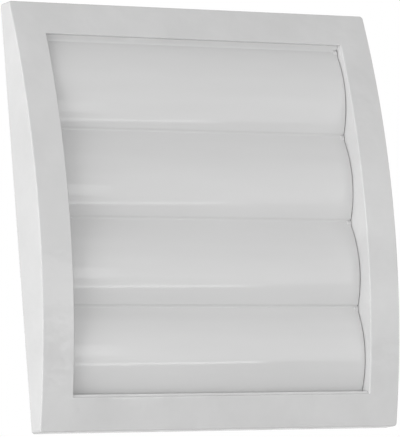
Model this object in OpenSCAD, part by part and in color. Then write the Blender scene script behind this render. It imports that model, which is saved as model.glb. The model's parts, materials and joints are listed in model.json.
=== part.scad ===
// Louvred vent grille: a bowed square frame with four flaps that hang closed and swing outwards.
// The back of the frame lies in the plane y = 0, centred on the duct, and the front faces -Y.

/* [Frame] */
// Width of the frame
frame_w = 200; // [190:1:260]
// Height of the frame
frame_h = 200; // [190:1:260]
// Depth of the frame at the crown of its bow
crown_d = 20; // [17:0.5:26]
// Depth of the frame along its top and bottom edges
edge_d = 7.5; // [7:0.1:9]
// Width of the face on each side of the opening
side_border = 17; // [13:0.5:20]
// Height of the face above and below the opening
end_border = 15.5; // [12:0.5:18]
// Thickness of the moulded walls
wall = 2; // [1.6:0.1:2.6]
// Radius of the four corners, seen from the front
corner_r = 1.5; // [1:0.1:4]
// Radius of the front edges
edge_r = 1; // [0.5:0.1:1.4]
// Radius of the edge round the mouth of the opening
mouth_r = 0.8; // [0.4:0.1:1.2]
// Thickness of the ribs behind the face
rib_t = 1.4; // [1:0.1:2]
// Ribs behind each side of the face
rib_count = 4; // [2:1:6]
// How far the ribs stop short of the wall plane
rib_back = 1; // [0.5:0.1:3]

/* [Fixing] */
// Diameter of the duct opening in the back
duct_dia = 150; // [100:1:155]
// Distance between the screw holes, across and up
screw_step = 136; // [134:1:140]
// Diameter of the screw holes
screw_dia = 4.5; // [3.5:0.1:6]
// Width of the raised pad round each screw hole
pad_dia = 11; // [8:0.5:13]
// Height of the raised pads
pad_h = 0.8; // [0.5:0.1:1.2]

/* [Flaps] */
// Thickness of a flap's blade
blade_t = 1.4; // [1.1:0.05:1.7]
// Radius of the blade's curved face
blade_r = 48; // [40:0.5:60]
// Gap between each end of a flap and the well
end_gap = 1; // [0.6:0.1:1.4]
// Height of a flap's lip above the pins of the flap below
lip_rise = 2; // [1.8:0.1:2.6]
// Distance of the lip's middle from the wall plane
lip_out = 7.85; // [7.5:0.05:8.5]
// Gap between the lowest lip and the floor of the well
floor_gap = 1.6; // [1:0.1:3]
// How far the lowest flap hangs further in than the others, in degrees
last_tilt = 4.1; // [3:0.1:5]
// How far the tongue at the top of a flap reaches above its pins
tongue_h = 2.85; // [2.5:0.05:3]
// Gap between parts that rest on each other
seat_gap = 0.3; // [0.2:0.05:0.4]
// Thickness of the cheek at each end of a flap
cheek_t = 2; // [1.2:0.1:3]

/* [Pins] */
// Diameter of the pins at the ends of a flap
pin_dia = 2; // [1.6:0.1:2.4]
// Play all round a pin in its hole
pin_play = 0.07; // [0.04:0.01:0.1]
// Distance of the pins from the wall plane
pin_out = 6.3; // [6:0.05:7]
// Distance of the top flap's pins from the top of the opening
pin_drop = 3.4; // [3.3:0.1:4]
// Plastic between a pin and the front face of its blade
pin_cover = 0.1; // [0.05:0.05:0.3]
// Plastic round the root of a pin, on the cheek
pin_root = 1; // [0.8:0.1:1.1]
// How far the pins stop short of the far side of the wall they turn in
pin_short = 0.4; // [0.2:0.1:0.8]

/* [Hidden] */
flap_count = 4;
$fn = 96;
// The bow is a shallow arc of a large circle, so it takes more steps.
bow_fn = 720;
// Steps in the round of an edge
fillet_steps = 5;
// A cut reaches this far past the faces that it goes through.
over = 1;
// A rounded edge cuts this much into the faces beside it, so that it meets them cleanly.
bite = 0.03;
// The ledge reaches this far above the lip that rests on it.
ledge_rise = 0.3;

opening_w = frame_w - 2 * side_border;
opening_h = frame_h - 2 * end_border;
bow_r = (pow(frame_h / 2, 2) + pow(crown_d - edge_d, 2)) / (2 * (crown_d - edge_d));
bow_x = crown_d - bow_r;
pitch = (opening_h - pin_drop - floor_gap + lip_rise) / flap_count;
pin_r = pin_dia / 2;
top_pin_z = opening_h / 2 - pin_drop;

// A flap is drawn round its pins, as [distance forward, height].
// Its blade follows a circle that runs through the lip and just in front of the pins.
half_t = blade_t / 2;
lip = [lip_out - pin_out, lip_rise + half_t - pitch];
mid_r = blade_r - half_t;
pin_ring_r = blade_r - pin_r - pin_cover;
lip_far = norm(lip);
lip_dir = lip / lip_far;
curve_down = (pow(pin_ring_r, 2) - pow(mid_r, 2) + pow(lip_far, 2)) / (2 * lip_far);
curve_back = sqrt(pow(pin_ring_r, 2) - pow(curve_down, 2));
curve = curve_down * lip_dir + curve_back * [lip_dir[1], -lip_dir[0]];
lip_angle = atan2(lip[1] - curve[1], lip[0] - curve[0]);

// The blade ends this far below the pins, and the tongue goes on from there.
// It stands a little steeper than the blade, so that the lip above rests on it.
tongue_root = 1.6;
root_angle = asin((-tongue_root - curve[1]) / mid_r);
root = curve + mid_r * [cos(root_angle), sin(root_angle)];
tip = [lip[0] - blade_t - seat_gap, tongue_h - half_t];

// The cheeks close the hollow side of the blade at its ends, down to this angle of its curve
// and back to this far behind the pins.
cheek_low = -14;
cheek_back = 2;

blade_w = opening_w - 2 * end_gap;
pin_end = opening_w / 2 + wall - pin_short;
last_lip = turned(lip, -last_tilt);
ledge_out = pin_out + last_lip[0] - half_t - seat_gap;
ledge_top = top_pin_z - (flap_count - 1) * pitch + last_lip[1] + half_t + ledge_rise;

function turned(p, a) = [p[0] * cos(a) - p[1] * sin(a), p[0] * sin(a) + p[1] * cos(a)];

// Outline of the waste outside a rounded edge, with its round centre at the origin.
// The faces beside it look along the angles a and b.
function edge_waste(r, a, b) = concat(
    [for (i = [0 : fillet_steps]) let (t = a + (b - a) * i / fillet_steps) r * [cos(t), sin(t)]],
    [2 * r * [cos(b), sin(b)],
     3 * r * [cos((a + b) / 2), sin((a + b) / 2)],
     2 * r * [cos(a), sin(a)]]);

// Carries a profile drawn as [forward, up] across the grille.
module across(width) {
    rotate([90, 0, -90])
        linear_extrude(width, center = true)
            children();
}

// Carries a shape seen from the front from depth d1 to depth d2.
module deep(d1, d2) {
    translate([0, -d1, 0])
        rotate([90, 0, 0])
            linear_extrude(d2 - d1)
                children();
}

// Side view of the bow, from just behind the wall plane to its curved front.
module bow_profile(inset, half_h) {
    intersection() {
        translate([bow_x, 0])
            circle(bow_r - inset, $fn = bow_fn);
        translate([-over, -half_h])
            square([crown_d + 2 * over, 2 * half_h]);
    }
}

module rounded(w, h, r) {
    difference() {
        square([w, h], center = true);
        for (sx = [-1, 1], sz = [-1, 1])
            translate([sx * (w / 2 - r), sz * (h / 2 - r)])
                difference() {
                    translate([sx > 0 ? 0 : -r - over, sz > 0 ? 0 : -r - over])
                        square(r + over);
                    circle(r, $fn = 64);
                }
    }
}

// The whole bowed body with its rounded corners, before it is hollowed.
module bowed_body() {
    intersection() {
        across(frame_w + 2 * over)
            bow_profile(0, frame_h);
        deep(0, crown_d + over)
            rounded(frame_w, frame_h, corner_r);
    }
}

// Waste along the straight front edge at a half height, on the frame's outside or in its mouth.
module straight_waste(half_h, r, length, outside) {
    inward = r - bite;
    centre_z = outside ? half_h - inward : half_h + inward;
    centre_x = bow_x + sqrt(pow(bow_r - inward, 2) - pow(centre_z, 2));
    lean = asin(centre_z / (bow_r - inward));
    across(length)
        translate([centre_x, centre_z])
            polygon(edge_waste(r, lean, outside ? 90 : -90));
}

// Waste along the bowed front edge at a half width, in the same way.
module bowed_waste(half_w, half_h, r, outside) {
    inward = r - bite;
    reach = asin((half_h + over) / bow_r);
    translate([0, -bow_x, 0])
        rotate([0, 90, 0])
            rotate([0, 0, -90 - reach])
                rotate_extrude(angle = 2 * reach, $fn = bow_fn)
                    translate([bow_r - inward, outside ? half_w - inward : half_w + inward])
                        polygon(edge_waste(r, 0, outside ? 90 : -90));
}

module rounded_edges() {
    for (turn = [0, 180])
        rotate([0, turn, 0]) {
            straight_waste(frame_h / 2, edge_r, frame_w + 2 * over, true);
            straight_waste(opening_h / 2, mouth_r, opening_w, false);
            bowed_waste(frame_w / 2, frame_h / 2, edge_r, true);
            bowed_waste(opening_w / 2, opening_h / 2, mouth_r, false);
        }
}

// Ribs that cross the space behind the face, in line on opposite sides.
module ribs() {
    deep(rib_back, crown_d + over)
        for (i = [0 : rib_count - 1]) {
            share = i / (rib_count - 1) - 0.5;
            translate([0, share * opening_h])
                square([frame_w, rib_t], center = true);
            translate([share * opening_w, 0])
                square([rib_t, frame_h], center = true);
        }
}

// The space behind the face, between the outer walls and the well.
module hollow() {
    difference() {
        across(frame_w - 2 * wall)
            bow_profile(wall, frame_h / 2 - wall);
        deep(-2 * over, crown_d + over)
            square([opening_w + 2 * wall, opening_h + 2 * wall], center = true);
        ribs();
    }
}

module at_screws() {
    for (sx = [-1, 1], sz = [-1, 1])
        translate([sx * screw_step / 2, 0, sz * screw_step / 2])
            children();
}

// The open well in front of the back flange, less the ledge under the lowest lip.
module well() {
    difference() {
        deep(wall, crown_d + over)
            square([opening_w, opening_h], center = true);
        deep(wall - over, ledge_out)
            translate([-frame_w / 2, -frame_h / 2])
                square([frame_w, frame_h / 2 + ledge_top]);
        at_screws()
            deep(wall - over, wall + pad_h)
                circle(d = pad_dia);
    }
}

module frame() {
    color("gainsboro")
        difference() {
            bowed_body();
            hollow();
            well();
            rounded_edges();
            deep(-over, wall + over)
                circle(d = duct_dia, $fn = 240);
            at_screws()
                deep(-over, wall + pad_h + over)
                    circle(d = screw_dia);
            for (i = [0 : flap_count - 1])
                translate([0, -pin_out, top_pin_z - i * pitch])
                    for (side = [-1, 1])
                        translate([side * (opening_w / 2 + wall / 2), 0, 0])
                            rotate([0, 90, 0])
                                cylinder(h = wall + 2 * over, r = pin_r + pin_play, center = true);
        }
}

// Section of the blade: a curved strip with a round lip and a straight tongue.
module blade_profile() {
    reach = 2 * blade_r;
    difference() {
        intersection() {
            translate(curve)
                circle(blade_r, $fn = 360);
            translate(curve)
                polygon([[0, 0],
                         reach * [cos(lip_angle), sin(lip_angle)],
                         [reach, 0],
                         reach * [cos(root_angle), sin(root_angle)]]);
        }
        translate(curve)
            circle(blade_r - blade_t, $fn = 360);
    }
    for (end = [lip, tip])
        translate(end)
            circle(half_t + bite, $fn = 32);
    translate(root)
        rotate(atan2(tip[1] - root[1], tip[0] - root[0]))
            translate([-half_t, -half_t])
                square([norm(tip - root) + half_t, blade_t]);
}

// Section of a cheek: it fills the hollow side of the blade and surrounds the pin.
module cheek_profile() {
    low = curve + (mid_r - half_t / 2) * [cos(cheek_low), sin(cheek_low)];
    intersection() {
        translate(curve)
            circle(mid_r + half_t / 2, $fn = 360);
        union() {
            circle(pin_r + pin_root, $fn = 48);
            polygon([[-cheek_back, 0], low, low + [half_t, 0], [2 * cheek_back + blade_t, -tongue_root],
                     [0, 0]]);
        }
    }
}

module flap(tilt) {
    color("whitesmoke")
        rotate([tilt, 0, 0]) {
            across(blade_w)
                blade_profile();
            for (side = [-1, 1])
                translate([side * (blade_w - cheek_t) / 2, 0, 0])
                    across(cheek_t)
                        cheek_profile();
            for (side = [-1, 1])
                translate([side * (blade_w / 2 - cheek_t / 2 + pin_end) / 2, 0, 0])
                    rotate([0, 90, 0])
                        cylinder(h = pin_end - blade_w / 2 + cheek_t / 2, r = pin_r, center = true);
        }
}

module hung_flap(i) {
    translate([0, -pin_out, top_pin_z - i * pitch])
        flap(i == flap_count - 1 ? last_tilt : 0);
}

module flap_1() { hung_flap(0); }
module flap_2() { hung_flap(1); }
module flap_3() { hung_flap(2); }
module flap_4() { hung_flap(3); }

frame();
flap_1();
flap_2();
flap_3();
flap_4();
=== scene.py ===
import json
import math
import bmesh
import bpy
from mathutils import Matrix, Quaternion, Vector


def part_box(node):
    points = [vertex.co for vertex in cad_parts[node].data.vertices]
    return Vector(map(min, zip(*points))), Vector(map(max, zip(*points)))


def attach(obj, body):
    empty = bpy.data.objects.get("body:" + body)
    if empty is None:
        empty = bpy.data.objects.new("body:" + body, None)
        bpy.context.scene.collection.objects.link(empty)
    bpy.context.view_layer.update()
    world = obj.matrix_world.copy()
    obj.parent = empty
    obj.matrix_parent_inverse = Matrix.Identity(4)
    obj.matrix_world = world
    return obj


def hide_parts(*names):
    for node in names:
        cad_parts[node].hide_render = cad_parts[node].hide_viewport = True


# Louvred vent grille: a bowed square frame with four flaps that hang closed.
# Lengths are in metres. The wall is the plane y = 0 and the front faces -Y.
# Flat outlines are lists of (forward, up) points, forward being the way out from the wall.

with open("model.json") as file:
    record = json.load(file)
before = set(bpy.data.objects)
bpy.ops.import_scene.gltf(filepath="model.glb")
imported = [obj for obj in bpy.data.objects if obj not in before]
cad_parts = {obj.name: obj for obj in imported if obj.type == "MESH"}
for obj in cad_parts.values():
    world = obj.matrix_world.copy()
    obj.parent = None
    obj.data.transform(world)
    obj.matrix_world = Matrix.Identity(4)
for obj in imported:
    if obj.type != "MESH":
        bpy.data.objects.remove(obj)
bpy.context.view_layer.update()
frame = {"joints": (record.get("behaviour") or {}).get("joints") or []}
near = 3e-5  # places closer than this are the same
weld = 1e-6  # points closer than this are merged
print("frame loaded")


# helpers for working on a mesh

def addMesh(name, addShape, scale=(1, 1, 1), **placing):
    bpy.ops.object.select_all(action="DESELECT")
    addShape(**placing)
    piece = bpy.context.object
    piece.name = name
    piece.data.name = name
    piece.scale = scale
    bpy.ops.object.transform_apply(location=True, rotation=True, scale=True)
    return piece


def addBlock(name, low, high):
    middle = [(a + b) / 2 for a, b in zip(low, high)]
    size = [b - a for a, b in zip(low, high)]
    return addMesh(name, bpy.ops.mesh.primitive_cube_add, scale=size, size=1, location=middle)


def addRod(name, radius, start, end, sides=48):
    start, end = Vector(start), Vector(end)
    turn = (end - start).to_track_quat("Z", "Y").to_euler()
    return addMesh(name, bpy.ops.mesh.primitive_cylinder_add, vertices=sides, radius=radius,
                   depth=(end - start).length, location=(start + end) / 2, rotation=turn)


def addPrism(name, outline, start, width):
    # a disc takes the outline's shape and is then extruded across the grille
    piece = addMesh(name, bpy.ops.mesh.primitive_circle_add, vertices=len(outline), fill_type="NGON")
    editMode(piece, "VERT")
    mesh = bmesh.from_edit_mesh(piece.data)
    mesh.verts.ensure_lookup_table()
    for vert, (forward, up) in zip(mesh.verts, outline):
        vert.co = (start, -forward, up)
    bpy.ops.mesh.select_all(action="SELECT")
    bpy.ops.mesh.extrude_region_move(TRANSFORM_OT_translate={"value": (width, 0, 0)})
    bpy.ops.mesh.select_all(action="SELECT")
    bpy.ops.mesh.normals_make_consistent(inside=False)
    objectMode()
    return piece


def select(pieces):
    bpy.ops.object.select_all(action="DESELECT")
    for piece in pieces:
        piece.select_set(True)
    bpy.context.view_layer.objects.active = pieces[0]


def joined(pieces):
    select(pieces)
    bpy.ops.object.join()
    return pieces[0]


def editMode(piece, kind):
    select([piece])
    bpy.ops.object.mode_set(mode="EDIT")
    bpy.ops.mesh.select_mode(type=kind)


def objectMode():
    bpy.ops.object.mode_set(mode="OBJECT")


def pick(piece, parts, wanted):
    # selects only the verts, edges or faces that are wanted
    bpy.ops.mesh.select_all(action="DESELECT")
    mesh = bmesh.from_edit_mesh(piece.data)
    for part in getattr(mesh, parts):
        if wanted(part):
            part.select_set(True)
    mesh.select_flush_mode()
    bmesh.update_edit_mesh(piece.data)


def middleOf(edge):
    return (edge.verts[0].co + edge.verts[1].co) / 2


def isSharp(edge, least=50):
    return edge.is_manifold and edge.calc_face_angle(0) > math.radians(least)


def bevelPicked(radius, segments):
    bpy.ops.mesh.bevel(offset=radius, segments=segments, profile=0.5, affect="EDGES",
                       offset_type="OFFSET", clamp_overlap=False)


def bevelSharp(piece, wanted, radius, segments):
    # bevels the sharp edges whose two ends are at wanted places
    pick(piece, "edges", lambda e: isSharp(e) and all(wanted(v.co) for v in e.verts))
    bevelPicked(radius, segments)


def modify(piece, kind, **settings):
    # adds a modifier and applies it straight away
    select([piece])
    modifier = piece.modifiers.new(kind.lower(), kind)
    for setting, value in settings.items():
        setattr(modifier, setting, value)
    bpy.ops.object.modifier_apply(modifier=modifier.name)


def combine(piece, other, operation):
    modify(piece, "BOOLEAN", object=other, operation=operation, solver="MANIFOLD")
    bpy.data.objects.remove(other, do_unlink=True)


def shadeSmooth(piece, sharpAngle=32):
    select([piece])
    bpy.ops.object.shade_smooth_by_angle(angle=math.radians(sharpAngle))
    modify(piece, "WEIGHTED_NORMAL", keep_sharp=True, weight=50)


# the frame

frameShape = {
    "crownDepth": 0.020,      # depth of the bow at its middle
    "edgeDepth": 0.0075,      # depth along the top and bottom edges
    "sideBorder": 0.017,
    "endBorder": 0.0155,
    "wall": 0.002,
    "cornerRadius": 0.0015,
    "edgeRadius": 0.0006,
    "mouthRadius": 0.0006,
    "rimRadius": 0.0003,      # of the small edges at the wall, the duct, the pads and the ledge
    "sillRadius": 0.00015,
    "bowSteps": 72,
    "ribThickness": 0.0014,
    "ribsPerSide": 4,
    "ribBack": 0.001,         # how far the ribs stop short of the wall plane
    "sunk": 0.0005,           # how far a part reaches into the walls that it joins
    "cutOver": 0.001,         # how far a cutter reaches past what it cuts
    "ductRadius": 0.075,
    "screwStep": 0.136,
    "screwRadius": 0.00225,
    "padRadius": 0.0055,
    "padHeight": 0.0008,
    "pinHoleRadius": 0.00107,
    "ledgeOut": 0.00407,      # the lowest lip rests on the ledge and hangs down to the sill
    "ledgeTop": -0.0812,
    "sillOut": 0.0099,
    "sillTop": -0.08325,
    # outline of the strip over the hinge of the top flap, like the lip of one more flap
    "headLip": [(0.00822, 0.08288), (0.00794, 0.083), (0.00725, 0.0837), (0.00725, 0.085),
                (0.00914, 0.085)],
}

frameLow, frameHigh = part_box("frame")
halfW = (frameHigh.x - frameLow.x) / 2
halfH = (frameHigh.z - frameLow.z) / 2
mouthW = halfW - frameShape["sideBorder"]  # half the width of the opening
mouthH = halfH - frameShape["endBorder"]
pinPlaces = [Vector(joint["pos_m"]) for joint in frame["joints"]]
bowRise = frameShape["crownDepth"] - frameShape["edgeDepth"]
bowRadius = (halfH ** 2 + bowRise ** 2) / (2 * bowRise)
bowCentre = bowRadius - frameShape["crownDepth"]
flangeFront = -frameShape["wall"]
padFront = flangeFront - frameShape["padHeight"]


def bowY(z):
    return bowCentre - math.sqrt(bowRadius ** 2 - min(halfH, abs(z)) ** 2)


def onBow(point):
    return abs(point.y - bowY(point.z)) < near


def inMouth(point, spare=near):
    return abs(point.x) < mouthW + spare and abs(point.z) < mouthH + spare


def isOutside(point, depth=near):
    return abs(point.x) > halfW - depth or abs(point.z) > halfH - depth


def isCorner(point):
    return abs(point.x) > halfW - near and abs(point.z) > halfH - near


def addShell():
    # a plane loses its back edge, and its front edge, spun up to the top, makes the bowed front
    s = frameShape
    planeDepth = 1
    piece = addMesh("grilleFrame", bpy.ops.mesh.primitive_plane_add, scale=(2 * halfW, 1, 1),
                    size=planeDepth, location=(0, planeDepth / 2 - s["edgeDepth"], -halfH))
    editMode(piece, "VERT")
    pick(piece, "verts", lambda v: v.co.y > 0)
    bpy.ops.mesh.delete(type="VERT")
    bpy.ops.mesh.select_all(action="SELECT")
    bpy.ops.mesh.spin(steps=s["bowSteps"], angle=2 * math.asin(halfH / bowRadius),
                      center=(0, bowCentre, 0), axis=(1, 0, 0))
    for cut, normal in (((mouthW, 0, 0), (1, 0, 0)), ((0, 0, mouthH), (0, 0, 1))):
        for side in (-1, 1):
            bpy.ops.mesh.select_all(action="SELECT")
            bpy.ops.mesh.bisect(plane_co=[side * value for value in cut], plane_no=normal)
    bpy.ops.mesh.select_mode(type="FACE")
    pick(piece, "faces", lambda f: inMouth(f.calc_center_median(), -near))
    bpy.ops.mesh.delete(type="FACE")

    # the outer walls go back to the wall plane, and the well to the front of the flange
    bpy.ops.mesh.select_mode(type="EDGE")
    for isWanted, depth in ((isOutside, 0), (inMouth, flangeFront)):
        pick(piece, "edges", lambda e: e.is_boundary and isWanted(middleOf(e)) and onBow(e.verts[0].co))
        bpy.ops.mesh.extrude_edges_move()
        bpy.ops.transform.resize(value=(1, 0, 1), center_override=(0, depth, 0))
    pick(piece, "edges", lambda e: e.is_boundary and inMouth(middleOf(e)))
    bpy.ops.mesh.edge_face_add()
    bpy.ops.mesh.select_all(action="SELECT")
    bpy.ops.mesh.remove_doubles(threshold=weld)
    bpy.ops.mesh.normals_make_consistent(inside=False)
    objectMode()
    foremost = min(piece.data.polygons, key=lambda f: f.center.y)
    if foremost.normal.y > 0:
        piece.data.flip_normals()
    modify(piece, "SOLIDIFY", thickness=s["wall"], offset=-1, solidify_mode="NON_MANIFOLD",
           nonmanifold_thickness_mode="CONSTRAINTS")
    return piece


def roundShell(piece):
    s = frameShape
    skin = s["cornerRadius"] + near  # deep enough to take in the rounded corners
    editMode(piece, "EDGE")
    bevelSharp(piece, isCorner, s["cornerRadius"], segments=5)
    bevelSharp(piece, lambda p: isOutside(p, skin) and onBow(p), s["edgeRadius"], segments=4)
    bevelSharp(piece, lambda p: inMouth(p) and onBow(p), s["mouthRadius"], segments=3)
    bevelSharp(piece, lambda p: isOutside(p, skin) and abs(p.y) < near, s["rimRadius"], segments=2)
    objectMode()


def screwPlaces():
    half = frameShape["screwStep"] / 2
    return [(x, z) for x in (-half, half) for z in (-half, half)]


def addFittings():
    # the ledge with its sill, the strip at the top and the screw pads
    s = frameShape
    low, back = -mouthH - s["sunk"], s["wall"] - s["sunk"]
    ledge = [(back, low), (s["sillOut"], low), (s["sillOut"], s["sillTop"]),
             (s["ledgeOut"], s["sillTop"]), (s["ledgeOut"], s["ledgeTop"]), (back, s["ledgeTop"])]
    start, width = -mouthW - s["sunk"], 2 * (mouthW + s["sunk"])
    fittings = [addPrism("ledge", ledge, start, width), addPrism("head", s["headLip"], start, width)]
    fittings += [addRod("pad", s["padRadius"], (x, flangeFront + s["sunk"], z), (x, padFront, z))
                 for x, z in screwPlaces()]
    return joined(fittings)


def addCutters():
    # what cuts the duct opening, the screw holes and the holes for the pins
    s = frameShape
    over, deep = s["cutOver"], padFront - s["cutOver"]
    cutters = [addRod("duct", s["ductRadius"], (0, over, 0), (0, deep, 0), sides=160)]
    cutters += [addRod("screw", s["screwRadius"], (x, over, z), (x, deep, z), sides=32)
                for x, z in screwPlaces()]
    past = mouthW + s["wall"] + s["sunk"]
    cutters += [addRod("pinHole", s["pinHoleRadius"], (-past, p.y, p.z), (past, p.y, p.z), sides=24)
                for p in pinPlaces]
    return joined(cutters)


def addSideRib(side, z):
    s = frameShape
    inner, outer = mouthW + s["wall"] - s["sunk"], halfW - s["wall"] + s["sunk"]
    left, right = sorted((side * inner, side * outer))
    half = s["ribThickness"] / 2
    return addBlock("rib", (left, bowY(z) + s["wall"] / 2, z - half), (right, -s["ribBack"], z + half))


def addEndRib(side, x):
    # the front of this one leans with the bow
    s = frameShape
    inner, outer = mouthH + s["wall"] - s["sunk"], halfH - s["wall"] + s["sunk"]
    low, high = sorted((side * inner, side * outer))
    half = s["ribThickness"] / 2
    rib = addBlock("rib", (x - half, bowY(inner) + s["wall"] / 2, low), (x + half, -s["ribBack"], high))
    editMode(rib, "VERT")
    pick(rib, "verts", lambda v: v.co.y < -s["edgeDepth"] and abs(v.co.z) > outer - near)
    bpy.ops.transform.translate(value=(0, bowY(outer) - bowY(inner), 0))
    objectMode()
    return rib


def addRibs():
    steps = frameShape["ribsPerSide"] - 1
    ribs = []
    for i in range(steps + 1):
        share = 2 * i / steps - 1  # from -1 at one end of a border to 1 at the other
        for side in (-1, 1):
            ribs += [addSideRib(side, share * mouthH), addEndRib(side, share * mouthW)]
    return joined(ribs)


def roundSmallEdges(piece):
    # the duct opening, the pads, the ledge and the sill
    s = frameShape
    editMode(piece, "EDGE")
    bevelSharp(piece, lambda p: abs(p.y - flangeFront) < near
               and abs(math.hypot(p.x, p.z) - s["ductRadius"]) < near, s["rimRadius"], segments=2)
    bevelSharp(piece, lambda p: abs(p.y - padFront) < near, s["rimRadius"], segments=2)
    for out, top, radius in ((s["ledgeOut"], s["ledgeTop"], s["rimRadius"]),
                             (s["sillOut"], s["sillTop"], s["sillRadius"])):
        bevelSharp(piece, lambda p: abs(p.y + out) < near and abs(p.z - top) < near, radius, segments=2)
    objectMode()


def modelFrame():
    piece = addShell()
    roundShell(piece)
    print("frame shell modelled")
    combine(piece, addFittings(), "UNION")
    combine(piece, addCutters(), "DIFFERENCE")
    combine(piece, addRibs(), "UNION")  # before the cuts, the ribs came out torn
    roundSmallEdges(piece)
    shadeSmooth(piece)
    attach(piece, "frame")
    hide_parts("frame")
    print("frame finished", len(piece.data.polygons), "faces")
    return piece


grilleFrame = modelFrame()


# the flaps: one is drawn with its pins along the X axis, and its copies are hung in their places

flapShape = {
    "thickness": 0.0014,
    "radius": 0.048,          # of the blade's front face
    "lipOut": 0.00155,        # from the pins forward to the middle of the lip
    "lipDown": 0.0388,
    "lipEdge": 0.0003,        # thickness of the lip at its very end
    "lipRadius": 0.00012,
    "pinRadius": 0.001,
    "pinCover": 0.0001,       # between a pin and the front face
    "bladeTop": 0.0016,       # the blade ends this far below the pins
    "tipBack": 0.00015,       # from the pins back to the middle of the tongue's tip
    "tipUp": 0.00215,
    "tipRadius": 0.0002,
    "ridgeRadius": 0.00243,   # of the ridge along the hinge, round the pins
    "ridgeStart": 50,         # degrees up from straight forward
    "ridgeEnd": 80,
    "ridgeStep": 6,
    "hollowFoot": 0.0019,     # how far up the tongue the hollow under the ridge begins
    "hollowRun": 0.0005,      # how far it then runs along the tongue before it bends out
    "hollowSteps": 8,
    "endGap": 0.0004,
    "endRadius": 0.0003,
    "cheekThickness": 0.002,
    "cheekBack": 0.002,
    "cheekLow": -14,          # degrees on the blade's curve
    "bossRadius": 0.00195,
    "bladeSteps": 36,
    "lastTilt": 4.1,          # degrees that the lowest flap hangs further in
}


halfT = flapShape["thickness"] / 2
bladeRing = flapShape["radius"] - halfT  # radius of the blade half-way through its thickness
bladeHalf = mouthW - flapShape["endGap"]
lip = Vector((flapShape["lipOut"], -flapShape["lipDown"]))
tip = Vector((-flapShape["tipBack"], flapShape["tipUp"]))


def onCircle(radius, angle):
    return radius * Vector((math.cos(angle), math.sin(angle)))


def inSpace(point):
    return Vector((0, -point.x, point.y))


def findCurve():
    # the middle of the blade's circle, which runs through the lip and just in front of the pins
    s = flapShape
    pinRing = s["radius"] - s["pinRadius"] - s["pinCover"]
    down = (pinRing ** 2 - bladeRing ** 2 + lip.length_squared) / (2 * lip.length)
    back = math.sqrt(pinRing ** 2 - down ** 2)
    along = lip.normalized()
    return down * along + back * Vector((along.y, -along.x))


curve = findCurve()
centre = inSpace(curve)
rootAngle = math.asin((-flapShape["bladeTop"] - curve.y) / bladeRing)
root = curve + onCircle(bladeRing, rootAngle)
lipAngle = math.atan2(lip.y - curve.y, lip.x - curve.x)
endAngle = lipAngle - halfT / bladeRing  # the blade ends half a thickness past the middle of the lip
tongue = (tip - root).normalized()


def atRoot(point):
    angle = math.atan2(point.z - centre.z, centre.y - point.y)
    return abs(angle - rootAngle) * bladeRing < near


def addBlade():
    # the blade is spun from its root to its end, and the tongue is extruded from the root
    s = flapShape
    piece = addMesh("flapBlade", bpy.ops.mesh.primitive_plane_add, size=1,
                    scale=(2 * bladeHalf, s["thickness"], 1), location=inSpace(root),
                    rotation=(math.pi - rootAngle, 0, 0))
    editMode(piece, "FACE")
    bpy.ops.mesh.select_all(action="SELECT")
    bpy.ops.mesh.spin(steps=s["bladeSteps"], angle=endAngle - rootAngle, center=centre, axis=(1, 0, 0))
    pick(piece, "faces", lambda f: all(atRoot(v.co) for v in f.verts))
    rise = inSpace((tip - root) + tongue * halfT)
    bpy.ops.mesh.extrude_region_move(TRANSFORM_OT_translate={"value": rise})
    bpy.ops.mesh.select_all(action="SELECT")
    bpy.ops.mesh.remove_doubles(threshold=weld)
    bpy.ops.mesh.normals_make_consistent(inside=False)
    objectMode()
    return piece


def roundBlade(piece):
    # the back of the lip is bevelled to a thin edge, then lip, tip and ends get small rounds
    s = flapShape
    lipFront = inSpace(curve + onCircle(s["radius"], endAngle))

    def isLong(edge):
        return abs(edge.verts[0].co.x - edge.verts[1].co.x) > bladeHalf and isSharp(edge, least=30)

    def isLip(edge, front):
        isFront = (middleOf(edge) - lipFront).length < s["lipEdge"] + near
        return isLong(edge) and middleOf(edge).z < 0 and isFront == front

    def isEnd(edge):
        isOuter = (middleOf(edge) - centre).yz.length > bladeRing - halfT / 2
        return isOuter and isSharp(edge) and all(abs(v.co.x) > bladeHalf - near for v in edge.verts)

    editMode(piece, "EDGE")
    pick(piece, "edges", lambda e: isLip(e, front=False))
    bevelPicked(s["thickness"] - s["lipEdge"], segments=1)
    pick(piece, "edges", lambda e: isLip(e, front=True))
    bevelPicked(s["lipRadius"], segments=2)
    pick(piece, "edges", lambda e: isLong(e) and middleOf(e).z > 0)
    bevelPicked(s["tipRadius"], segments=3)
    pick(piece, "edges", isEnd)
    bevelPicked(s["endRadius"], segments=2)
    objectMode()


def addHingeRidge():
    # a rounded ridge along the hinge fills the step under the lip of the flap above
    s = flapShape
    front = Vector((tongue.y, -tongue.x))
    foot = root + front * (halfT - near) + tongue * s["hollowFoot"]
    bend = foot + tongue * s["hollowRun"]
    top = onCircle(s["ridgeRadius"], math.radians(s["ridgeStart"]))
    outline = []
    for i in range(s["hollowSteps"] + 1):
        t = i / s["hollowSteps"]
        outline.append((1 - t) ** 2 * foot + 2 * t * (1 - t) * bend + t ** 2 * top)
    for angle in range(s["ridgeStart"] + s["ridgeStep"], s["ridgeEnd"] + 1, s["ridgeStep"]):
        outline.append(onCircle(s["ridgeRadius"], math.radians(angle)))
    outline += [tip, root]
    half = bladeHalf - s["endRadius"]
    return addPrism("hingeRidge", outline, -half, 2 * half)


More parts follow.
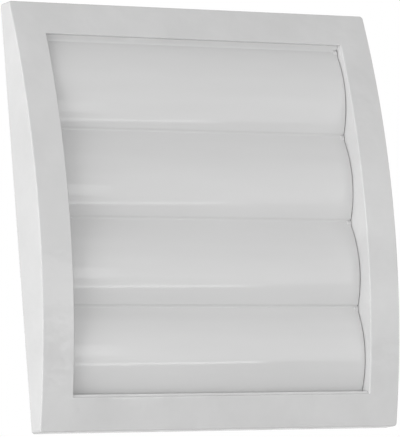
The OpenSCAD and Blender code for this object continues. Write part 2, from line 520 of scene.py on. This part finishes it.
def addCheeks():
    # one at each end of the blade, cut to its hollow side
    s = flapShape
    low = curve + onCircle(bladeRing - halfT / 2, math.radians(s["cheekLow"]))
    outline = [(-s["cheekBack"], 0), (low.x, low.y), (low.x + halfT, low.y),
               (2 * s["cheekBack"] + s["thickness"], -s["bladeTop"])]
    starts = (-bladeHalf, bladeHalf - s["cheekThickness"])
    cheeks = joined([addPrism("cheek", outline, start, s["cheekThickness"]) for start in starts])
    inside = addRod("inside", bladeRing + halfT / 2, (-halfW, centre.y, centre.z),
                    (halfW, centre.y, centre.z), sides=240)
    combine(cheeks, inside, "INTERSECT")
    return cheeks


def addRodPair(radius, inner, outer):
    return joined([addRod("pin", radius, (side * inner, 0, 0), (side * outer, 0, 0), sides=32)
                   for side in (-1, 1)])


def modelFlap():
    s = flapShape
    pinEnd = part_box("flap_1")[1].x
    piece = addBlade()
    roundBlade(piece)
    combine(piece, addHingeRidge(), "UNION")
    combine(piece, addCheeks(), "UNION")
    combine(piece, addRodPair(s["bossRadius"], bladeHalf - s["cheekThickness"], bladeHalf), "UNION")
    combine(piece, addRodPair(s["pinRadius"], bladeHalf - s["cheekThickness"] / 2, pinEnd), "UNION")
    shadeSmooth(piece)
    print("flap finished", len(piece.data.polygons), "faces")
    return piece


def hangFlap(master, number, place):
    select([master])
    bpy.ops.object.duplicate(linked=False)
    piece = bpy.context.object
    piece.name = "flapMoulding" + str(number)
    piece.data.name = piece.name
    piece.location = place
    if number == len(pinPlaces):
        piece.rotation_euler.x = math.radians(flapShape["lastTilt"])
    bpy.ops.object.transform_apply(location=True, rotation=True, scale=True)
    body = "flap_" + str(number)
    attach(piece, body)
    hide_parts(body)
    return piece


flapMaster = modelFlap()
flaps = [hangFlap(flapMaster, i + 1, place) for i, place in enumerate(pinPlaces)]
bpy.data.objects.remove(flapMaster, do_unlink=True)
print("flaps hung")


# the plastics

framePlasticLook = {
    "greys": (0.565, 0.61),
    "cloudSize": (0.03, 0.03, 0.03),    # of the slow changes of colour and gloss
    "roughness": (0.1, 0.16),
    "waveSize": (0.012, 0.012, 0.009),  # of the slight unevenness that gloss shows
    "waveDepth": 0.00045,
    "grainSize": (0.0005, 0.0005, 0.0005),
    "grainDepth": 0.0000015,
    "ior": 1.5,
}

flapPlasticLook = {
    "greys": (0.59, 0.62),
    "cloudSize": (0.12, 0.02, 0.02),
    "roughness": (0.06, 0.12),
    "waveSize": (0.05, 0.004, 0.0025),  # drawn out along the flap, as the plastic flowed
    "waveDepth": 0.00002,
    "grainSize": (0.0005, 0.0005, 0.0005),
    "grainDepth": 0.000001,
    "ior": 1.5,
}


def fillIn(tree, node, inputs):
    # an input is given as a plain value or as the output of another node
    for name, value in inputs.items():
        if isinstance(value, bpy.types.NodeSocket):
            tree.links.new(value, node.inputs[name])
        else:
            node.inputs[name].default_value = value


def addNode(tree, kind, inputs, **settings):
    node = tree.nodes.new("ShaderNode" + kind)
    for setting, value in settings.items():
        setattr(node, setting, value)
    fillIn(tree, node, inputs)
    return node


def addPlastic(name, look, pieces):
    material = bpy.data.materials.new(name)
    material.use_nodes = True
    tree = material.node_tree
    place = addNode(tree, "TexCoord", {}).outputs["Object"]

    def addNoise(size, detail):
        # noise whose patches have the given size along each axis
        stretch = addNode(tree, "Mapping", {"Vector": place, "Scale": [1 / length for length in size]})
        noise = addNode(tree, "TexNoise", {"Vector": stretch.outputs["Vector"], "Scale": 1,
                                           "Detail": detail})
        return noise.outputs["Fac"]

    def addRange(source, low, high):
        # nearly all of the noise lies between 0.3 and 0.7
        spread = addNode(tree, "MapRange", {"Value": source, "From Min": 0.3, "From Max": 0.7,
                                            "To Min": low, "To Max": high})
        return spread.outputs["Result"]

    cloud = addNoise(look["cloudSize"], detail=3)
    dark, pale = [(grey, grey, grey, 1) for grey in look["greys"]]
    tint = addNode(tree, "Mix", {"Factor": addRange(cloud, 0, 1), "A": dark, "B": pale}, data_type="RGBA")
    waves = addNode(tree, "Bump", {"Height": addNoise(look["waveSize"], detail=2),
                                   "Distance": look["waveDepth"]})
    grain = addNode(tree, "Bump", {"Height": addNoise(look["grainSize"], detail=1),
                                   "Distance": look["grainDepth"], "Normal": waves.outputs["Normal"]})
    fillIn(tree, tree.nodes["Principled BSDF"], {
        "Base Color": tint.outputs["Result"],
        "Roughness": addRange(cloud, *look["roughness"]),
        "IOR": look["ior"],
        "Normal": grain.outputs["Normal"],
    })
    for piece in pieces:
        piece.data.materials.clear()
        piece.data.materials.append(material)


addPlastic("framePlastic", framePlasticLook, [grilleFrame])
addPlastic("flapPlastic", flapPlasticLook, flaps)
print("plastics made")


# the camera

cameraLook = {
    "place": (-1.14212, -1.70916, -0.28599),
    "azimuth": -33.781,    # degrees, of the way back from the grille to the camera
    "elevation": -7.938,
    "roll": -4.488,
    "lens": 362.9,
    "sensor": 36,
}


def addCamera():
    look = cameraLook
    azimuth, elevation = math.radians(look["azimuth"]), math.radians(look["elevation"])
    back = Vector((math.sin(azimuth) * math.cos(elevation), -math.cos(azimuth) * math.cos(elevation),
                   math.sin(elevation)))
    bpy.ops.object.camera_add(location=look["place"])
    camera = bpy.context.object
    camera.rotation_mode = "QUATERNION"
    roll = Quaternion((0, 0, 1), math.radians(look["roll"]))
    camera.rotation_quaternion = back.to_track_quat("Z", "Y") @ roll
    camera.data.lens = look["lens"]
    camera.data.sensor_width = look["sensor"]
    bpy.context.scene.camera = camera


# the floor and the studio

floorLook = {
    "height": -1.5,
    "size": 20,
    "grey": 0.8,
    "roughness": 0.7,
    "reflected": 0.75,     # how pale it is in reflections
    "cameraLift": 0.3,     # how much paler the camera sees it than its light makes it
}

worldLook = {
    "seen": 1.0,           # brightness to the camera and in reflections
    "ambient": 0.53,       # brightness as a light
}

white = (1, 1, 1, 1)


def addFloor():
    look = floorLook
    floor = addMesh("floor", bpy.ops.mesh.primitive_plane_add, size=look["size"],
                    location=(0, 0, look["height"]))
    material = bpy.data.materials.new("paleFloor")
    material.use_nodes = True
    tree = material.node_tree
    path = addNode(tree, "LightPath", {})
    lift = addNode(tree, "Math", {0: path.outputs["Is Camera Ray"], 1: look["cameraLift"]},
                   operation="MULTIPLY")
    paint = tree.nodes["Principled BSDF"]
    fillIn(tree, paint, {
        "Base Color": (look["grey"], look["grey"], look["grey"], 1),
        "Roughness": look["roughness"],
        "Emission Color": white,
        "Emission Strength": lift.outputs["Value"],
    })
    pale = addNode(tree, "Emission", {"Strength": look["reflected"]})
    mix = addNode(tree, "MixShader", {"Fac": path.outputs["Is Glossy Ray"], 1: paint.outputs["BSDF"],
                                      2: pale.outputs["Emission"]})
    fillIn(tree, tree.nodes["Material Output"], {"Surface": mix.outputs["Shader"]})
    floor.data.materials.append(material)


def addWorld():
    look = worldLook
    world = bpy.data.worlds.new("studio")
    bpy.context.scene.world = world
    world.use_nodes = True
    tree = world.node_tree
    tree.nodes.clear()
    path = addNode(tree, "LightPath", {})
    either = addNode(tree, "Math", {0: path.outputs["Is Camera Ray"], 1: path.outputs["Is Glossy Ray"]},
                     operation="MAXIMUM")
    soft = addNode(tree, "Background", {"Color": white, "Strength": look["ambient"]})
    seen = addNode(tree, "Background", {"Color": white, "Strength": look["seen"]})
    mix = addNode(tree, "MixShader", {"Fac": either.outputs["Value"], 1: soft.outputs["Background"],
                                      2: seen.outputs["Background"]})
    addNode(tree, "OutputWorld", {"Surface": mix.outputs["Shader"]})


# the lamps

lampLooks = {
    # name: middle, point aimed at, width, height, brightness, whether the gloss shows it
    "leftNear": ((-1.7, -0.65, 0), (0, 0, 0), 1.0, 1.1, 5.3, False),
    "left": ((-1.9, -0.25, 0.15), (0, 0, 0), 1.3, 1.3, 1.1, False),
    "leftHigh": ((-1.5, -0.6, 1.4), (0, 0, 0), 1.4, 1.4, 0.3, False),
    "front": ((-1.0, -1.6, -0.4), (0, 0, 0), 1.2, 0.3, 5.0, False),
    "frontLow": ((-0.2, -1.2, -0.45), (0, 0, 0), 0.9, 0.25, 1.6, False),
    # this one shows as bright patches on the left border
    "borderGleam": ((0.17, -0.444, -0.0456), (-0.0915, -0.0185, -0.035), 0.08, 0.09, 1.3, True),
    # these four make the bright lines on the flaps
    "lineStrip": ((0.2484, -0.4284, -0.164), (0.5574, 0.5226, -0.164), 0.18, 0.015, 3.8, True),
    "lineLow": ((0.3816, -0.4716, -0.104), (0.6906, 0.4794, -0.104), 0.46, 0.108, 0.89, True),
    "lineMiddle": ((0.3816, -0.4716, 0.025), (0.6906, 0.4794, 0.025), 0.46, 0.15, 0.69, True),
    "lineHigh": ((0.3816, -0.4716, 0.2), (0.6906, 0.4794, 0.2), 0.46, 0.2, 0.33, True),
}


def addLamp(name, middle, aim, width, height, brightness, glossShows):
    middle = Vector(middle)
    bpy.ops.object.light_add(type="AREA", location=middle)
    lamp = bpy.context.object
    lamp.name = name
    lamp.rotation_mode = "QUATERNION"
    lamp.rotation_quaternion = (middle - Vector(aim)).to_track_quat("Z", "Y")
    lamp.data.shape = "RECTANGLE"
    lamp.data.size = width
    lamp.data.size_y = height
    lamp.data.energy = brightness * math.pi * width * height  # so that it looks this bright
    lamp.visible_camera = False
    lamp.visible_glossy = glossShows


addCamera()
addFloor()
addWorld()
for lampName, lampLook in lampLooks.items():
    addLamp(lampName, *lampLook)
bpy.context.scene.view_settings.view_transform = "Standard"
print("stage set")
